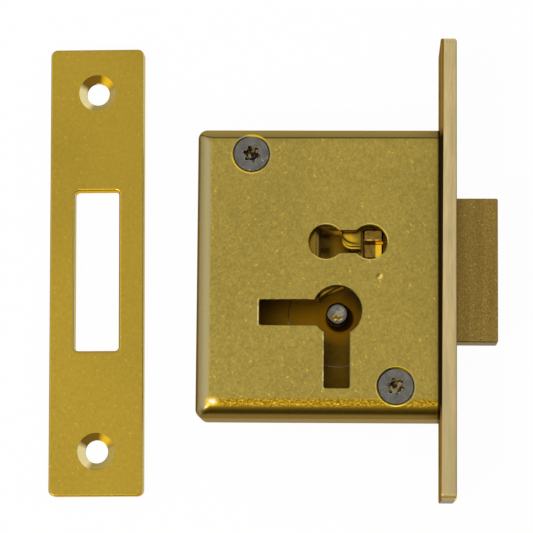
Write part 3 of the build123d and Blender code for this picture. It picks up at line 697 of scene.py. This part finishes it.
def bolt_details(make, tone):
    """Inside the case the bolt has mottled painted shade, but for painted light, golden round the
    stump and brown left of it. Its sides are painted paler, and the lower one is a bluish grey
    painted reflection."""
    mottle = make.noise(BOLT_MOTTLE_GRAIN, BOLT_MOTTLE_DETAIL)
    inner = make.lay(
        make.ramp(mottle, BOLT_INNER_SHADE_TONES),
        (make.patch(*ROUND_STUMP_MM), ROUND_STUMP_LIGHT_TONE),
        (make.patch(*LEFT_OF_STUMP_MM), LEFT_OF_STUMP_LIGHT_TONE),
    )
    tone = make.mix(make.past("X", *BOLT_OUTSIDE_MM), inner, tone)
    return make.lay_turns(tone, BOLT_SIDE_SHADING_TURNS)


# Finishes, one for each of the record's material slots, and some for nodes of their own
FINISHES = {
    "cap_brass": metal(
        "cap_brass", (0.475, 0.350, 0.071), 0.40, grain=(1900.0, 1500.0, 1900.0),
        grain_change=0.34, cloud=(45.0, 30.0, 45.0), cloud_change=0.07,
        glint_size=1.6 * MM, details=cap_details,
    ),
    "plate_brass": metal(
        "plate_brass", (0.76, 0.59, 0.275), 0.33, grain=(6200.0, 240.0, 6200.0),
        grain_depth=1.4e-6, grain_change=0.26, cloud=(700.0, 70.0, 700.0), cloud_change=0.14,
        details=forend_details, matt=forend_matt,
    ),
    "bolt_brass": metal(
        "bolt_brass", (0.375, 0.24, 0.054), 0.36, grain=(2600.0, 1700.0, 2600.0),
        grain_depth=1.8e-6, grain_change=0.52, cloud=(700.0, 30.0, 700.0), cloud_change=0.12,
        glint_size=1.0 * MM, glint_colour=(0.80, 0.52, 0.10), details=bolt_details,
    ),
    "lever_brass": metal(
        "lever_brass", (0.56, 0.34, 0.03), 0.20, cloud=(380.0, 380.0, 380.0),
        cloud_change=0.45, edge_tint=(0.75, 0.50, 0.08), details=lever_details,
        matt=lever_sides,
    ),
    "inner_brass": metal("inner_brass", (0.33, 0.20, 0.035), 0.34, cloud_change=0.14),
    "back_brass": metal(
        "back_brass", (0.155, 0.084, 0.007), 0.36, grain=(260.0, 4200.0, 4200.0),
        grain_change=0.3, cloud=(150.0, 150.0, 150.0), cloud_change=0.4,
        edge_tint=(0.75, 0.50, 0.06), details=back_details,
    ),
    "stump_brass": metal(
        "stump_brass", (0.27, 0.155, 0.025), 0.24, grain=(2400.0, 2400.0, 2400.0),
        grain_depth=3.0e-6, grain_change=0.3, cloud=(700.0, 700.0, 700.0), cloud_change=0.45,
        details=stump_details,
    ),
    "screw_steel": metal(
        "screw_steel", (0.185, 0.175, 0.15), 0.36, grain=(2600.0, 2600.0, 2600.0),
        grain_depth=2.0e-6, grain_change=0.25, cloud=(500.0, 500.0, 500.0), cloud_change=0.2,
        glint_size=1.2 * MM, glint_colour=(0.75, 0.66, 0.5), details=screw_details,
    ),
    "pin_steel": metal(
        "pin_steel", (0.27, 0.26, 0.23), 0.28, grain=(1500.0, 1500.0, 1500.0),
        grain_depth=8.0e-6, grain_change=0.35, cloud=(700.0, 700.0, 700.0), cloud_change=0.4,
        details=pin_details,
    ),
    "spring_bronze": metal("spring_bronze", (0.48, 0.30, 0.08), 0.28),
    "striker_brass": metal(
        "striker_brass", (0.50, 0.333, 0.038), 0.34, grain=(1700.0, 1000.0, 1700.0),
        grain_change=0.12, cloud=(40.0, 30.0, 40.0), cloud_change=0.06,
        glint_size=1.3 * MM, glint_colour=(0.80, 0.55, 0.06), edge_tint=(0.75, 0.58, 0.18),
        details=striker_details, matt=striker_cones,
    ),
}
OWN_FINISHES = {"back_plate": "back_brass", "bolt_stump": "stump_brass"}


def dress_nodes():
    for part in record["subparts"]:
        materials = nodes[part["node"]].data.materials
        finish = FINISHES[OWN_FINISHES.get(part["node"], part["material_slot"])]
        if not materials:
            materials.append(finish)
        for index in range(len(materials)):
            materials[index] = finish


# Springs: the CAD leaves are copied and cut across into short lengths, and the CAD leaves are hidden
LEAF_COUNT = sum(name.startswith("lever_spring_") for name in nodes)
LEAF_CUTS = 24


def bending_leaf(index):
    name = f"lever_spring_{index}"
    source = nodes[name]
    low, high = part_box(name)
    mesh = source.data.copy()
    cut = bmesh.new()
    cut.from_mesh(mesh)
    for step in range(1, LEAF_CUTS):
        x = low[0] + (high[0] - low[0]) * step / LEAF_CUTS
        everything = cut.verts[:] + cut.edges[:] + cut.faces[:]
        bmesh.ops.bisect_plane(cut, geom=everything, plane_co=(x, 0, 0), plane_no=(1, 0, 0))
    cut.to_mesh(mesh)
    cut.free()
    leaf = bpy.data.objects.new(f"spring_leaf_{index}", mesh)
    bpy.context.scene.collection.objects.link(leaf)
    mesh.materials.clear()
    mesh.materials.append(FINISHES["spring_bronze"])
    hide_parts(name)
    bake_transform(leaf)


# Stage: a white table and a dark card, which the case's near edge mirrors
TABLE_HALF = 3.0
TABLE_Z = -0.02 * MM
TABLE_TONE = (0.82, 0.82, 0.82, 1.0)
TABLE_ROUGHNESS = 0.9
TABLE_GLOW_SHARE = 0.97
CARD_HALF = 0.9
CARD_Y = -0.55
CARD_HEIGHT = 0.5
CARD_TONE = (0.03, 0.025, 0.02, 1.0)


def stage_sheet(name, corners, material):
    mesh = bpy.data.meshes.new(name)
    mesh.from_pydata(corners, [], [(0, 1, 2, 3)])
    mesh.materials.append(material)
    sheet = bpy.data.objects.new(name, mesh)
    bpy.context.scene.collection.objects.link(sheet)


def white_table():
    """Plain paper, which glows white where the camera or a reflection sees it."""
    make = Nodes("table_white")
    paper = make.add("ShaderNodeBsdfPrincipled")
    paper.inputs["Base Color"].default_value = TABLE_TONE
    paper.inputs["Roughness"].default_value = TABLE_ROUGHNESS
    glow = make.add("ShaderNodeEmission")
    glow.inputs["Strength"].default_value = 1.0
    path = make.add("ShaderNodeLightPath")
    seen = make.either([path.outputs["Is Camera Ray"], path.outputs["Is Glossy Ray"]])
    blend = make.add("ShaderNodeMixShader")
    make.join(make.both(seen, TABLE_GLOW_SHARE), blend.inputs[0])
    make.join(paper.outputs[0], blend.inputs[1])
    make.join(glow.outputs[0], blend.inputs[2])
    make.join(blend.outputs[0], make.output.inputs["Surface"])
    signs = ((-1, -1), (1, -1), (1, 1), (-1, 1))
    corners = [(x * TABLE_HALF, y * TABLE_HALF, TABLE_Z) for x, y in signs]
    stage_sheet("table", corners, make.material)


def dark_card():
    make = Nodes("card_black")
    cloth = make.add("ShaderNodeBsdfPrincipled")
    cloth.inputs["Base Color"].default_value = CARD_TONE
    cloth.inputs["Roughness"].default_value = 1.0
    make.join(cloth.outputs[0], make.output.inputs["Surface"])
    ends = ((-CARD_HALF, 0.0), (CARD_HALF, 0.0), (CARD_HALF, CARD_HEIGHT), (-CARD_HALF, CARD_HEIGHT))
    stage_sheet("dark_card", [(x, CARD_Y, z) for x, z in ends], make.material)


# Light: an even white world, a wide panel on the left and a small lamp for the highlight at the
# cap's corner.
# Each lamp has its place, the size of its sides and its power in watts.
WORLD_STRENGTH = 0.77
LAMP_AIM = (-0.01, 0.01, 0.0)
LAMPS = {
    "left_panel": ((-0.95, 0.25, 0.75), (0.9, 1.1), 1.7),
    "corner_lamp": ((-0.42, -0.42, 0.85), (0.07, 0.07), 3.6),
}


def area_light(name, place, size, watts):
    lamp = bpy.data.lights.new(name, "AREA")
    lamp.shape = "RECTANGLE"
    lamp.size, lamp.size_y = size
    lamp.energy = watts
    holder = bpy.data.objects.new(name, lamp)
    holder.location = place
    direction = Vector(LAMP_AIM) - Vector(place)
    holder.rotation_euler = direction.to_track_quat("-Z", "Y").to_euler()
    bpy.context.scene.collection.objects.link(holder)


def studio():
    world = bpy.data.worlds.new("studio")
    world.use_nodes = True
    background = world.node_tree.nodes["Background"]
    background.inputs["Color"].default_value = (*WHITE, 1.0)
    background.inputs["Strength"].default_value = WORLD_STRENGTH
    bpy.context.scene.world = world
    for name, settings in LAMPS.items():
        area_light(name, *settings)


# Camera, solved from the lock's corners in the photograph
CAMERA_PLACE_MM = (7.811, -61.471, 587.207)
CAMERA_RIGHT = (0.99917, 0.00841, -0.03981)
CAMERA_UP = (-0.00342, 0.99231, 0.12372)
CAMERA_LENS_MM = 177.33
CAMERA_NEAR = 0.01
SENSOR_MM = 36.0


def add_camera():
    right = Vector(CAMERA_RIGHT).normalized()
    back = right.cross(Vector(CAMERA_UP)).normalized()
    up = back.cross(right)
    turn = Matrix((right, up, back)).transposed().to_4x4()
    data = bpy.data.cameras.new("camera")
    data.sensor_width = SENSOR_MM
    data.lens = CAMERA_LENS_MM
    data.clip_start = CAMERA_NEAR
    camera = bpy.data.objects.new("camera", data)
    camera.matrix_world = Matrix.Translation(Vector(CAMERA_PLACE_MM) * MM) @ turn
    bpy.context.scene.collection.objects.link(camera)
    bpy.context.scene.camera = camera


dress_nodes()
for index in range(1, LEAF_COUNT + 1):
    bending_leaf(index)
white_table()
studio()
dark_card()
add_camera()
bpy.context.scene.view_settings.view_transform = "Standard"

bpy.context.view_layer.update()
